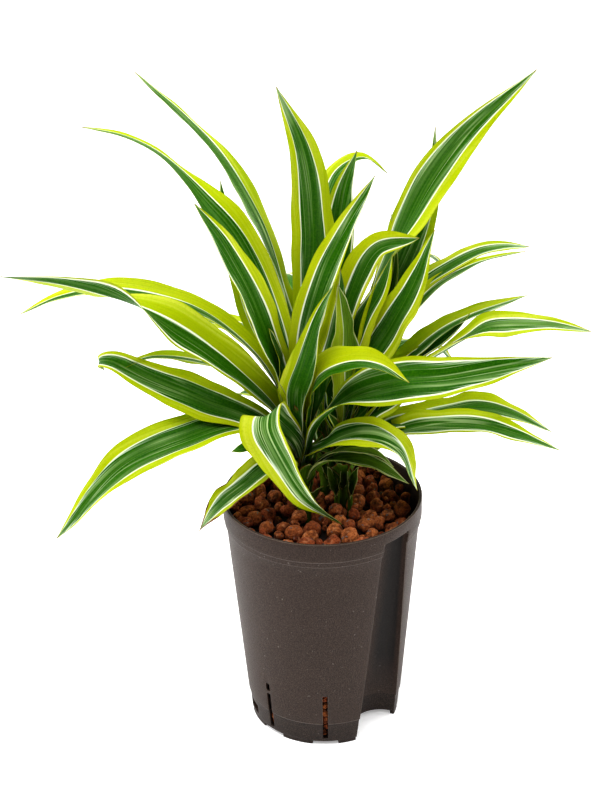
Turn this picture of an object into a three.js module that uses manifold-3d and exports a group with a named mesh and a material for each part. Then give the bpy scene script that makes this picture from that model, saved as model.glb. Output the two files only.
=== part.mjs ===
// A potted dracaena: striped cuttings standing together in a moulded culture pot filled with clay
// pebbles. Millimetres, +Z up. The origin is on the pot's axis, on the surface that it stands on.

import * as THREE from "three";
import { mergeVertices } from "three/addons/utils/BufferGeometryUtils.js";
import Module from "manifold-3d";

const wasm = await Module();
wasm.setup();

// ---- Driving dimensions ----

const potHeight = 190;
const footHeight = 3;
const footRadius = 58.2;        // outside of the wall at the floor
const shoulderRadius = 73.1;    // outside of the wall where the rim band starts
const wall = 2;                 // thickness of the moulding
const baseBandTop = 20;         // below this height the wall is drawn in
const baseBandStep = 0.8;
const rimBandBottom = 170;
const rimLedgeTop = 174.6;
const rimLedgeRadius = 74.2;
const rimRadius = 75;
const rimBridgeBottom = 181;    // where the rim spans the gauge channel, its lower edge
const roundSides = 48;          // sides of every turned shape

const footArc = 25;             // degrees of ring that each foot takes
const footWidth = 3.4;
const footRoot = 4;             // height at which the feet end inside the floor
const padRadius = 14;           // the flat spot at the middle of the underside

const slotWidth = 3.4;
const slotBottom = 6;
const slotTop = 48;
const slotBridge = [38.5, 41];  // one slot keeps a web between these heights
const slotSpacing = 45;
const slotReach = 12;           // depth of the cut, across the wall
const bridgedSlot = -45;
const windowHeading = -75;      // one low drain window, wider than it is high
const windowWidth = 22;
const windowTop = 14;

const channelHeading = 47;      // the channel for the water gauge, degrees from the front
const channelRadiusFoot = 22.5;
const channelRadiusTop = 13.5;
const channelWallTop = 178;
const channelSides = 32;

const pebbleLevel = 173;        // top of the bed between the pebbles
const pebbleCount = 84;
const pebbleRadius = [4.8, 6.4];
const pebbleRise = 2.5;         // how far the centres of the pebbles scatter upwards
const fillGap = 0.3;            // clearance between the fill and what it touches

const stemFoot = 140;           // how far down the stems reach into the fill
const stemSides = 8;
const stemTaper = 0.6;          // radius at the top of a stem, as a share of its foot

const leafSteps = 8;            // lengths that a blade is made of
const ribThickness = 1.3;
const edgeThickness = 0.8;
const sheathShare = 0.28;       // breadth where the blade leaves the stem, as a share of its widest
const widestAt = 0.52;
const tipShare = 0.04;          // breadth that is left at the tip
const usualTaper = 1.8;         // how long a blade keeps its breadth: more gives a blunter tip
const openFold = 10;            // degrees that each half of the blade rises, at the tip
const sheathFold = 38;          // and what the sheath adds to it
const edgeWave = 1.4;           // height of the waves in the margins of a broad blade
const fullWaveWidth = 24;       // narrower blades wave less
const wavesPerLeaf = 2.6;

// ---- Materials ----

const plastic = new THREE.MeshStandardMaterial({ color: 0x4a403c, roughness: 0.55, metalness: 0 });
const clay = new THREE.MeshStandardMaterial({ color: 0x8f4a2a, roughness: 0.95, metalness: 0 });
const foliage = new THREE.MeshStandardMaterial({ color: 0x5f9020, roughness: 0.45, metalness: 0 });

// ---- Solids ----

const radians = THREE.MathUtils.degToRad;

// A heading is measured from the front (-Y) towards +X.
function onHeading(degrees, radius, z) {
  const angle = radians(degrees);
  return new THREE.Vector3(radius * Math.sin(angle), -radius * Math.cos(angle), z);
}

function solidFrom(geometry) {
  const bare = geometry.clone();
  bare.deleteAttribute("normal");
  bare.deleteAttribute("uv");
  const merged = mergeVertices(bare, 1e-4);
  return new wasm.Manifold(new wasm.Mesh({
    numProp: 3,
    vertProperties: new Float32Array(merged.attributes.position.array),
    triVerts: new Uint32Array(merged.index.array),
  }));
}

function solidFromFaces(points, faces) {
  return new wasm.Manifold(new wasm.Mesh({
    numProp: 3,
    vertProperties: new Float32Array(points.flatMap((point) => [point.x, point.y, point.z])),
    triVerts: new Uint32Array(faces.flat()),
  }));
}

function meshFrom(solid, name, material) {
  const { vertProperties, triVerts } = solid.getMesh();
  const geometry = new THREE.BufferGeometry();
  geometry.setAttribute("position", new THREE.BufferAttribute(vertProperties, 3));
  geometry.setIndex(new THREE.BufferAttribute(triVerts, 1));
  geometry.computeVertexNormals();
  const mesh = new THREE.Mesh(geometry, material);
  mesh.name = name;
  return mesh;
}

// The largest body of a solid, without loose scraps or sealed hollows.
function wholeBody(solid) {
  return solid.decompose().reduce((most, body) => (body.volume() > most.volume() ? body : most));
}

// A turned solid, from a profile of [radius, height] that runs up from the axis and back to it.
function turned(profile) {
  const outline = profile.map(([radius, height]) => new THREE.Vector2(radius, height));
  const geometry = new THREE.LatheGeometry(outline, roundSides);
  geometry.rotateX(Math.PI / 2);
  return solidFrom(geometry);
}

// A round bar between two points, with a radius at each end and its rings level.
function bar(low, high, lowRadius, highRadius, sides) {
  const points = [];
  for (const [centre, radius] of [[low, lowRadius], [high, highRadius]]) {
    for (let side = 0; side < sides; side += 1) {
      points.push(onHeading((side * 360) / sides, radius, 0).add(centre));
    }
  }
  points.push(low, high);
  const faces = [];
  for (let side = 0; side < sides; side += 1) {
    const next = (side + 1) % sides;
    faces.push([side, next, sides + next], [side, sides + next, sides + side]);
    faces.push([2 * sides, next, side], [2 * sides + 1, sides + side, sides + next]);
  }
  return solidFromFaces(points, faces);
}

function boxAt(width, depth, low, high, heading, radius) {
  const geometry = new THREE.BoxGeometry(width, depth, high - low);
  geometry.rotateZ(radians(heading));
  const centre = onHeading(heading, radius, (low + high) / 2);
  geometry.translate(centre.x, centre.y, centre.z);
  return solidFrom(geometry);
}

function wallRadiusAt(z) {
  return footRadius + ((shoulderRadius - footRadius) * z) / rimBandBottom;
}

// ---- Pot ----

// The space of the gauge channel, a leaning cone on the wall's own circle, grown by a margin.
function channelSpace(margin, low, high) {
  const slope = (channelRadiusTop - channelRadiusFoot) / channelWallTop;
  const centreAt = (z) => onHeading(channelHeading, wallRadiusAt(z), z);
  const radiusAt = (z) => channelRadiusFoot + slope * z + margin;
  return bar(centreAt(low), centreAt(high), radiusAt(low), radiusAt(high), channelSides);
}

// What the pot holds, down to its floor, shrunk by a gap.
function cavity(gap, top) {
  const floor = footHeight + wall + gap;
  const radiusAt = (z) => wallRadiusAt(z) - wall - gap;
  return turned([
    [0, floor],
    [radiusAt(floor) - baseBandStep, floor],
    [radiusAt(baseBandTop) - baseBandStep, baseBandTop],
    [radiusAt(top), top],
    [0, top],
  ]).subtract(channelSpace(wall + gap, -1, channelWallTop + gap));
}

function makePot() {
  const outside = turned([
    [0, footHeight],
    [wallRadiusAt(footHeight) - baseBandStep, footHeight],
    [wallRadiusAt(baseBandTop) - baseBandStep, baseBandTop],
    [wallRadiusAt(baseBandTop), baseBandTop + baseBandStep],
    [shoulderRadius, rimBandBottom],
    [rimLedgeRadius, rimBandBottom],
    [rimLedgeRadius, rimLedgeTop],
    [rimRadius, rimLedgeTop],
    [rimRadius, potHeight],
    [0, potHeight],
  ]);
  const rimRing = turned([
    [wallRadiusAt(rimBridgeBottom) - wall, rimBridgeBottom],
    [rimRadius, rimBridgeBottom],
    [rimRadius, potHeight],
    [wallRadiusAt(potHeight) - wall, potHeight],
    [wallRadiusAt(rimBridgeBottom) - wall, rimBridgeBottom],
  ]);
  const pad = turned([
    [0, 0],
    [padRadius, 0],
    [padRadius, footRoot],
    [0, footRoot],
  ]);
  let pot = outside.subtract(cavity(0, potHeight + 1)).subtract(channelSpace(0, -1, potHeight + 1));
  pot = pot.add(rimRing).add(pad);
  for (let heading = 0; heading > -360; heading -= slotSpacing) {
    const inChannel = Math.abs(heading + 360 - channelHeading) < slotSpacing / 2;
    if (inChannel) continue;
    const spans = heading === bridgedSlot
      ? [[slotBottom, slotBridge[0]], [slotBridge[1], slotTop]]
      : [[slotBottom, slotTop]];
    for (const [low, high] of spans) {
      pot = pot.subtract(boxAt(slotWidth, slotReach, low, high, heading, wallRadiusAt(low)));
    }
  }
  pot = pot.subtract(
    boxAt(windowWidth, slotReach, slotBottom, windowTop, windowHeading, wallRadiusAt(slotBottom)),
  );
  for (let heading = slotSpacing / 2; heading < 360; heading += slotSpacing) {
    pot = pot.add(foot(heading));
  }
  return pot;
}

// A foot is a short length of ring under the wall, cut away where the channel passes.
function foot(heading) {
  const outer = wallRadiusAt(0) - baseBandStep;
  const inner = outer - footWidth;
  const steps = 4;
  const points = [];
  const faces = [];
  for (let step = 0; step <= steps; step += 1) {
    const turn = heading + footArc * (step / steps - 0.5);
    for (const [radius, z] of [[inner, 0], [outer, 0], [outer, footRoot], [inner, footRoot]]) {
      points.push(onHeading(turn, radius, z));
    }
  }
  for (let step = 0; step < steps; step += 1) {
    for (let corner = 0; corner < 4; corner += 1) {
      const here = 4 * step + corner;
      const next = 4 * step + ((corner + 1) % 4);
      faces.push([here, here + 4, next + 4], [here, next + 4, next]);
    }
  }
  const last = 4 * steps;
  faces.push([0, 1, 2], [0, 2, 3], [last, last + 2, last + 1], [last, last + 3, last + 2]);
  return solidFromFaces(points, faces).subtract(channelSpace(0, -1, baseBandTop));
}

// ---- Stems and leaves ----

const smooth = (from, to, value) => THREE.MathUtils.smoothstep(value, from, to);

function stemPointAt(stem, z) {
  const start = new THREE.Vector3(...stem.foot, stemFoot);
  return start.lerp(new THREE.Vector3(...stem.head), (z - stemFoot) / (stem.head[2] - stemFoot));
}

function stemSolid(stem, margin) {
  const low = stemPointAt(stem, stemFoot - margin);
  const high = stemPointAt(stem, stem.head[2]);
  return bar(low, high, stem.radius + margin, stem.radius * stemTaper + margin, stemSides);
}

// Half the breadth of a blade, as a share of its widest: a narrow sheath, then a long taper.
function breadthAt(along, taper) {
  const sheath = sheathShare + (1 - sheathShare) * smooth(0, widestAt, along);
  const past = Math.max(0, along - widestAt) / (1 - widestAt);
  return Math.max(tipShare, sheath * (1 - past ** taper));
}

// A strap leaf. Its midrib leaves the stem's axis at a height and passes through the points given.
// Roll turns the blade about its midrib in degrees, and twist is added to it over the stretch that
// turning gives. A heading is stated where the leaf doesn't set out towards where its tip ends,
// and a taper where its tip is blunter or finer than usual.
function leafSolid(stem, leaf) {
  const { from, width, roll = 0, twist = 0, turning = [0.1, 0.9], heading, path } = leaf;
  const { steps = leafSteps, taper = usualTaper } = leaf;
  const start = stemPointAt(stem, from);
  const midrib = new THREE.CatmullRomCurve3(
    [start, ...path.map((point) => new THREE.Vector3(...point))], false, "centripetal",
  );
  const spine = midrib.getSpacedPoints(steps);
  const reach = heading === undefined
    ? spine[steps].clone().sub(start).setZ(0).normalize()
    : onHeading(heading, 1, 0);
  let side = new THREE.Vector3(reach.y, -reach.x, 0);
  const points = [];
  spine.forEach((centre, step) => {
    const along = step / steps;
    const tangent = spine[Math.min(step + 1, steps)].clone();
    tangent.sub(spine[Math.max(step - 1, 0)]).normalize();
    side = side.clone().addScaledVector(tangent, -side.dot(tangent)).normalize();
    const turn = radians(roll + twist * smooth(...turning, along));
    const across = side.clone().applyAxisAngle(tangent, turn);
    const above = across.clone().cross(tangent);
    const fold = radians(openFold + sheathFold * (1 - along) ** 3);
    const half = (width / 2) * breadthAt(along, taper);
    const wave = edgeWave * Math.min(1, width / fullWaveWidth) * Math.sin(Math.PI * along) ** 0.5;
    for (const sign of [-1, 0, 1]) {
      const ripple = wave * Math.sin(2 * Math.PI * wavesPerLeaf * along + sign + width);
      const rise = sign === 0 ? 0 : half * Math.sin(fold) + ripple;
      const thickness = sign === 0 ? ribThickness : edgeThickness;
      const top = centre.clone().addScaledVector(across, sign * half * Math.cos(fold));
      top.addScaledVector(above, rise);
      points.push(top, top.clone().addScaledVector(above, -thickness));
    }
  });
  // Points of a section: 0, 2, 4 along the upper face and 1, 3, 5 under them. Both faces are split
  // along the same diagonals, so that a waved blade keeps its thickness.
  const faces = [];
  for (let step = 0; step < steps; step += 1) {
    const here = 6 * step;
    const next = here + 6;
    for (const column of [0, 2]) {
      faces.push([here + column, here + column + 2, next + column + 2]);
      faces.push([here + column, next + column + 2, next + column]);
      faces.push([here + column + 1, next + column + 3, here + column + 3]);
      faces.push([here + column + 1, next + column + 1, next + column + 3]);
    }
    faces.push([here, next, next + 1], [here, next + 1, here + 1]);
    faces.push([here + 4, here + 5, next + 5], [here + 4, next + 5, next + 4]);
  }
  const last = 6 * steps;
  faces.push([0, 1, 3], [0, 3, 2], [2, 3, 5], [2, 5, 4]);
  faces.push([last, last + 3, last + 1], [last, last + 2, last + 3]);
  faces.push([last + 2, last + 5, last + 3], [last + 2, last + 4, last + 5]);
  return solidFromFaces(points, faces);
}

// ---- Shoots ----

// Each shoot has its stem and its leaves. A leaf leaves the stem at the height "from"; the points
// of its path were set by eye, so that the blades fan out as they do on the real plant.
const shoots = {
  shoot_left: {
    foot: [-13, 2], head: [-14, -2, 244], radius: 6.5,
    leaves: [
      { from: 224, width: 34, roll: -46, twist: 98, turning: [0.5, 0.78], steps: 10,
        path: [[-37, -9, 274], [-85, -22, 329], [-132, -34, 364], [-178, -40, 383],
          [-220, -42, 390]] },
      { from: 228, width: 21, roll: -8, twist: -16, taper: 2.4,
        path: [[-43, 5, 300], [-87, 14, 337], [-145, 25, 349], [-190, 33, 341], [-222, 38, 324]] },
      { from: 212, width: 30, roll: -50, steps: 10,
        path: [[-43, -11, 255], [-87, -22, 283], [-122, -28, 303], [-148, -30, 318],
          [-158, -22, 314], [-156, -12, 302]] },
      { from: 216, width: 20, roll: -4,
        path: [[-43, 5, 268], [-63, 6, 288], [-88, 2, 300], [-107, -8, 309], [-125, -20, 315],
          [-147, -34, 311]] },
      { from: 206, width: 33, roll: -20, twist: -10,
        path: [[-50, -12, 258], [-101, -42, 262], [-144, -55, 247], [-193, -62, 191]] },
      { from: 208, width: 38, heading: 5, taper: 1.15, steps: 13,
        path: [[-20, -14, 240], [-34, -26, 265], [-40, -37, 276], [-41, -46, 269],
          [-27, -50, 238], [-11, -49, 212], [14, -44, 189]] },
      { from: 190, width: 25, roll: -10,
        path: [[-33, -11, 222], [-57, -20, 211], [-74, -24, 198], [-93, -20, 170]] },
      { from: 234, width: 29, roll: -56, twist: -14,
        path: [[-29, -16, 302], [-45, -28, 359], [-64, -36, 409], [-84, -40, 441]] },
      { from: 236, width: 29, roll: -60, twist: 68, turning: [0.5, 0.8], taper: 1.4, steps: 11,
        path: [[-29, 6, 320], [-56, 15, 390], [-80, 20, 421], [-111, 26, 452], [-135, 28, 465],
          [-166, 30, 472]] },
      { from: 238, width: 25, roll: 70, twist: 20,
        path: [[-14, -18, 311], [2, -24, 380], [20, -22, 419], [39, -16, 450]] },
      { from: 232, width: 30, roll: 70,
        path: [[-7, -6, 284], [6, -1, 329], [14, 3, 362], [15, 3, 372]] },
      { from: 226, width: 24, roll: 78, heading: 90, taper: 1.0,
        path: [[-21, -21, 282], [-15, -29, 308], [-8, -34, 334], [0, -34, 358], [11, -30, 377]] },
      { from: 216, width: 26, roll: 30, heading: 70, steps: 10,
        path: [[-6, -16, 276], [0, -24, 304], [18, -36, 320], [42, -46, 322], [62, -52, 309]] },
      { from: 210, width: 33, roll: -8, twist: 62, turning: [0.25, 0.55], steps: 10,
        path: [[0, -20, 263], [22, -30, 288], [56, -38, 303], [91, -44, 309], [162, -50, 326]] },
      { from: 222, width: 27, roll: 6, twist: 19, turning: [0.2, 0.5], steps: 10,
        path: [[0, -22, 241], [28, -31, 257], [44, -32, 255], [58, -31, 243], [70, -27, 207]] },
      { from: 196, width: 14, roll: -15, twist: 45, turning: [0.4, 0.7],
        path: [[-3, -14, 221], [13, -20, 231], [28, -23, 232], [43, -24, 226], [64, -24, 211]] },
      { from: 200, width: 11, roll: -10, twist: 30, turning: [0.4, 0.7], steps: 7,
        path: [[0, -12, 226], [20, -18, 238], [40, -20, 235], [53, -20, 223]] },
      { from: 234, width: 22, roll: -60, steps: 6,
        path: [[-26, -12, 276], [-31, -20, 320], [-36, -24, 339]] },
      { from: 202, width: 22, roll: -20, steps: 6,
        path: [[-38, -24, 246], [-54, -36, 250], [-65, -44, 251]] },
    ],
  },
  shoot_back: {
    foot: [4, 30], head: [4, 32, 268], radius: 6.5,
    leaves: [
      { from: 250, width: 28, roll: -6, taper: 1.5,
        path: [[-25, 34, 334], [-46, 44, 397], [-83, 48, 458], [-128, 52, 504]] },
      { from: 262, width: 33, roll: -112,
        path: [[-8, 20, 316], [-4, 18, 396], [-10, 18, 456], [-28, 18, 503]] },
      { from: 258, width: 28, roll: 60,
        path: [[7, 30, 320], [13, 34, 382], [18, 38, 419], [28, 42, 447]] },
      { from: 244, width: 24, roll: 6, steps: 10,
        path: [[2, 52, 382], [12, 64, 422], [32, 72, 431], [51, 80, 415]] },
      { from: 236, width: 18, roll: -45, taper: 2.2,
        path: [[-23, 36, 265], [-44, 44, 297], [-57, 50, 336], [-64, 54, 366], [-69, 58, 395],
          [-71, 60, 419]] },
      { from: 230, width: 28,
        path: [[-12, 70, 290], [-24, 106, 315], [-36, 140, 306], [-48, 168, 272]] },
      { from: 234, width: 28, path: [[40, 64, 302], [62, 96, 328], [80, 128, 330], [98, 156, 308]] },
      { from: 222, width: 27,
        path: [[-34, 58, 266], [-64, 88, 286], [-90, 116, 278], [-112, 138, 248]] },
      { from: 216, width: 27, path: [[6, 72, 260], [8, 112, 280], [10, 150, 262], [12, 176, 220]] },
      { from: 210, width: 26, path: [[38, 62, 254], [66, 92, 268], [90, 116, 256], [110, 134, 226]] },
      { from: 204, width: 24,
        path: [[-28, 62, 236], [-54, 86, 232], [-79, 106, 208], [-94, 118, 170]] },
      { from: 194, width: 22, path: [[16, 62, 226], [26, 90, 230], [34, 112, 206]] },
    ],
  },
  shoot_right: {
    foot: [17, 20], head: [15, 8, 244], radius: 6.5,
    leaves: [
      { from: 236, width: 33, roll: -14, twist: 76, turning: [0.42, 0.7],
        path: [[34, 14, 319], [59, 24, 389], [97, 30, 452], [153, 38, 506]] },
      { from: 232, width: 34, roll: 66, taper: 0.9,
        path: [[33, 26, 297], [63, 38, 362], [81, 46, 411], [84, 52, 460]] },
      { from: 226, width: 29, roll: 70,
        path: [[29, 8, 285], [53, 3, 330], [68, -2, 365], [81, -6, 405]] },
      { from: 240, width: 12, roll: 10, taper: 0.9,
        path: [[42, 24, 314], [54, 29, 348], [56, 33, 374], [52, 37, 401]] },
      { from: 238, width: 20, roll: 66,
        path: [[19, 10, 284], [32, 8, 328], [45, 5, 356], [52, 3, 383]] },
      { from: 234, width: 23, roll: 50, twist: 20, taper: 4.2, steps: 10,
        path: [[12, 12, 304], [23, 14, 352], [41, 12, 386], [71, 6, 394]] },
      { from: 228, width: 19, roll: 10, taper: 4.5,
        path: [[48, 24, 306], [73, 28, 346], [95, 34, 361], [117, 44, 367], [136, 52, 367],
          [155, 58, 364]] },
      { from: 222, width: 18, roll: 8,
        path: [[47, 12, 302], [69, 14, 338], [87, 22, 353], [109, 28, 363], [131, 34, 367],
          [150, 38, 369]] },
      { from: 212, width: 20, roll: 12, taper: 2.2,
        path: [[40, 10, 266], [66, 16, 297], [88, 22, 315], [114, 30, 325], [140, 36, 331],
          [153, 40, 333]] },
      { from: 216, width: 24, roll: -17, twist: 50, turning: [0.57, 0.73], taper: 2.6, steps: 11,
        path: [[47, 3, 267], [72, 3, 295], [93, 3, 309], [105, 2, 317], [120, 2, 326],
          [137, 4, 327], [166, 8, 324], [197, 10, 317]] },
      { from: 210, width: 13, roll: 40, steps: 6,
        path: [[47, 8, 271], [69, 12, 297], [88, 16, 308], [102, 20, 319], [110, 22, 328]] },
      { from: 206, width: 29, roll: 10, taper: 2.6,
        path: [[45, 2, 244], [80, 8, 250], [114, 13, 254], [140, 16, 249], [173, 18, 230]] },
      { from: 200, width: 28, roll: 10,
        path: [[44, -1, 238], [79, -13, 255], [115, -20, 257], [144, -24, 251], [174, -25, 238]] },
      { from: 208, width: 25, path: [[42, 26, 250], [69, 44, 258], [91, 60, 250], [106, 70, 238]] },
      { from: 196, width: 24, path: [[46, 24, 224], [66, 36, 229], [82, 46, 220]] },
      { from: 204, width: 30, roll: 30,
        path: [[22, 4, 240], [36, 6, 255], [54, 8, 265], [76, 10, 272]] },
      { from: 236, width: 28, roll: 50, path: [[19, -4, 287], [19, -14, 330], [13, -14, 368]] },
      { from: 216, width: 24, roll: -60, path: [[9, 6, 256], [6, 10, 290], [6, 9, 318]] },
      { from: 210, width: 22, roll: -50, path: [[12, 0, 240], [5, -1, 268], [2, -1, 300]] },
    ],
  },
  sprout_front: {
    foot: [11, 8], head: [11, 8, 186], radius: 3,
    leaves: [
      { from: 181, width: 11, roll: -70, steps: 5, path: [[8, 5, 194], [4, 2, 212]] },
      { from: 182, width: 10, roll: 70, steps: 5, path: [[13, 5, 194], [14, 2, 208]] },
    ],
  },
  sprout_side: {
    foot: [21, 5], head: [21, 5, 186], radius: 3,
    leaves: [
      { from: 181, width: 11, roll: 70, steps: 5, path: [[23, 2, 195], [27, -1, 213]] },
      { from: 182, width: 10, roll: -70, steps: 5, path: [[19, 2, 194], [19, 0, 209]] },
    ],
  },
};

function makeShoot(stem) {
  const blades = stem.leaves.map((leaf) => leafSolid(stem, leaf));
  return wholeBody(blades.reduce((solid, blade) => solid.add(blade), stemSolid(stem, 0)));
}

// ---- Fill ----

// A steady number between 0 and 1 for each pebble and purpose.
function chance(index, purpose) {
  const wild = Math.sin(index * 12.9898 + purpose * 78.233) * 43758.5453;
  return wild - Math.floor(wild);
}

const goldenAngle = 137.508;

// One bed of clay pebbles: they stand out of its top along a sunflower spiral.
function makeFill() {
  const reach = wallRadiusAt(pebbleLevel) - wall - fillGap;
  let fill = cavity(fillGap, pebbleLevel);
  for (let index = 0; index < pebbleCount; index += 1) {
    const radius = THREE.MathUtils.lerp(...pebbleRadius, chance(index, 1));
    const distance = (reach - radius - 0.5) * Math.sqrt((index + 0.5) / pebbleCount);
    const pebble = new THREE.IcosahedronGeometry(radius, 0);
    pebble.scale(1, 0.85 + 0.3 * chance(index, 2), 0.8 + 0.2 * chance(index, 3));
    pebble.rotateX(Math.PI * chance(index, 4));
    pebble.rotateZ(2 * Math.PI * chance(index, 5));
    const height = pebbleLevel + pebbleRise * chance(index, 6);
    const centre = onHeading(index * goldenAngle, distance, height);
    pebble.translate(centre.x, centre.y, centre.z);
    fill = fill.add(solidFrom(pebble));
  }
  fill = fill.subtract(channelSpace(wall + fillGap, -1, potHeight + 1));
  for (const stem of Object.values(shoots)) {
    fill = fill.subtract(stemSolid(stem, fillGap));
  }
  return wholeBody(fill);
}

// ---- Assembly ----

const plant = new THREE.Group();
plant.add(meshFrom(makePot(), "pot", plastic));
plant.add(meshFrom(makeFill(), "clay_pebbles", clay));
for (const [name, stem] of Object.entries(shoots)) {
  plant.add(meshFrom(makeShoot(stem), name, foliage));
}

export default plant;
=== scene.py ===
# A potted dracaena: striped cuttings standing together in a moulded culture pot filled with clay
# pebbles. Metres, +Z up. The origin is on the pot's axis, on the surface that it stands on.

import math
import random

import bmesh
import bpy
from mathutils import Matrix, Quaternion, Vector, noise
from mathutils.geometry import interpolate_bezier


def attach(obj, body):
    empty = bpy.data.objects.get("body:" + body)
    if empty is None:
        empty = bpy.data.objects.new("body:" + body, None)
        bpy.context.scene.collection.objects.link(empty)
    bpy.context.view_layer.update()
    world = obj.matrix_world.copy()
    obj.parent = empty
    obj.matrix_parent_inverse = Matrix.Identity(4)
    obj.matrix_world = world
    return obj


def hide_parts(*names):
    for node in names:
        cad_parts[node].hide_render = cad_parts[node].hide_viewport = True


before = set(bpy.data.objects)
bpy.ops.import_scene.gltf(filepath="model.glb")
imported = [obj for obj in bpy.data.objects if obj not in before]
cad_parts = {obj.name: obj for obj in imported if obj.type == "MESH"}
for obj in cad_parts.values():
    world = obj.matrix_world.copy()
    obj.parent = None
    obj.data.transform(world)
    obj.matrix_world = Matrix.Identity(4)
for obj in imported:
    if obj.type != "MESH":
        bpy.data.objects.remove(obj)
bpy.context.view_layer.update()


# ---- Camera ----
# The photograph's own view: a long lens 1.3 m in front of the pot, nearly a metre up, tilted down.

camera_place = Vector((0.0, -1.302, 0.946))
camera_lens, camera_sensor = 90.0, 36.0               # millimetres
looks_down = math.radians(27.46)
turns_right = math.radians(-0.68)
leans = math.radians(-1.08)

forward = Vector((
    math.sin(turns_right) * math.cos(looks_down),
    math.cos(turns_right) * math.cos(looks_down),
    -math.sin(looks_down),
))
level = forward.cross(Vector((0, 0, 1))).normalized()
upright = level.cross(forward)
rightward = level * math.cos(leans) + upright * math.sin(leans)
upward = upright * math.cos(leans) - level * math.sin(leans)

camera = bpy.data.objects.new("camera", bpy.data.cameras.new("camera"))
camera.data.lens = camera_lens
camera.data.sensor_width = camera_sensor
camera.data.clip_end = 50.0
turn = Matrix((rightward, upward, -forward)).transposed().to_4x4()
camera.matrix_world = Matrix.Translation(camera_place) @ turn
bpy.context.scene.collection.objects.link(camera)
bpy.context.scene.camera = camera


# ---- Pot ----
# One moulding in dark brown polypropylene: a tapered wall 2 mm thick with a stepped rim band, a
# channel for a water gauge folded into its side, drain slots in the foot of the wall and low feet.

mm = 0.001
pot_height = 190 * mm
floor_bottom = 3 * mm                 # the feet lift the floor this far
foot_radius = 58.2 * mm               # outside of the wall, carried down to the ground
shoulder_radius = 73.1 * mm           # outside of the wall under the rim band
wall = 2 * mm
base_band_top = 20 * mm
base_band_step = 0.8 * mm             # the foot of the wall is drawn in by this much
rim_band_bottom = 170 * mm
rim_ledge_top = 174.6 * mm
rim_ledge_radius = 74.2 * mm
ledge_slope, rim_slope = 0.4 * mm, 0.3 * mm           # heights of the two small steps outwards
rim_radius = 75 * mm
rim_level = 186 * mm                  # one more level of points, half way up the rim
rim_bridge_bottom = 181 * mm          # the rim spans the mouth of the channel above this height

slot_bottom = 6 * mm
slot_top = 48 * mm
slot_half_angle = 1.85                # degrees
slot_groove_top = 62 * mm             # a shallow mark of the mould runs on above each slot
slot_groove_depth = 0.35 * mm
bridge_low, bridge_high = 38.5 * mm, 41 * mm
bridged_slot = -45
slot_headings = (0, -45, -90, -135, 180, 135, 90)
window_heading, window_half_angle = -75, 10.7
window_top = 14 * mm

channel_heading = 47                  # degrees from the front, towards +X
channel_radius_foot = 22.5 * mm
channel_radius_top = 13.5 * mm
channel_wall_top = 178 * mm


def on_heading(degrees, radius, z):
    """A point at a heading that is measured from the front (-Y) towards +X."""
    angle = math.radians(degrees)
    return Vector((radius * math.sin(angle), -radius * math.cos(angle), z))


def wall_radius(z):
    """Outside of the plain wall at a height."""
    return foot_radius + (shoulder_radius - foot_radius) * z / rim_band_bottom


def channel_radius(z):
    """Radius of the channel's round back at a height. Its centre stands on the wall's outside."""
    return channel_radius_foot + (channel_radius_top - channel_radius_foot) * z / channel_wall_top


column_spacing = 2                    # degrees between the columns of the plain wall
column_clearance = 1.3                # and how near one may stand to the edge of a slot
channel_reach = 30                    # the plain wall starts this far from the channel's middle
corner_steps = 8                      # columns between a corner of the channel and the plain wall
channel_steps = 30
level_spacing = 10                    # millimetres between the levels of the plain wall


def degrees_between(angle, heading):
    """The gap between a heading and an angle, which is measured from the channel's heading."""
    return abs((angle + channel_heading - heading + 180) % 360 - 180)


def plan_angles():
    """Angles of the wall's columns from the channel's heading, with one at each edge of a slot."""
    edges = []
    for heading in slot_headings:
        slot = (heading - channel_heading) % 360
        edges += [slot - slot_half_angle, slot + slot_half_angle]
    window = (window_heading - channel_heading) % 360
    edges += [window - window_half_angle, window + window_half_angle]
    angles = edges[:]
    for angle in range(channel_reach, 361 - channel_reach, column_spacing):
        in_slot = any(degrees_between(angle, heading) < slot_half_angle for heading in slot_headings)
        if not in_slot and all(abs(angle - edge) > column_clearance for edge in edges):
            angles.append(angle)
    return sorted(angles)


wall_angles = plan_angles()


def plan_loop(radius, groove, centre_radius, z, bridged):
    """One level of the pot in plan: round the wall from one side of the channel to the other, and
    back along the channel, or straight across its mouth where the rim bridges it."""
    reach = (radius ** 2 + centre_radius ** 2 - groove ** 2) / (2 * radius * centre_radius)
    corner = math.degrees(math.acos(reach))
    low, high = wall_angles[0], wall_angles[-1]
    angles = [corner + (low - corner) * step / corner_steps for step in range(corner_steps)]
    angles += wall_angles
    angles += [high + (360 - corner - high) * step / corner_steps for step in range(1, corner_steps + 1)]
    loop = [on_heading(channel_heading + angle, radius, z) for angle in angles]
    centre = on_heading(channel_heading, centre_radius, z)
    start = math.degrees(math.atan2(
        radius * math.sin(math.radians(corner)),
        radius * math.cos(math.radians(corner)) - centre_radius,
    ))
    for step in range(1, channel_steps):
        share = step / channel_steps
        if bridged:
            across = -corner + 2 * corner * share
            loop.append(on_heading(channel_heading + across, radius, z))
        else:
            around = -start - (360 - 2 * start) * share
            loop.append(centre + on_heading(channel_heading + around, groove, 0))
    return loop


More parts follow.
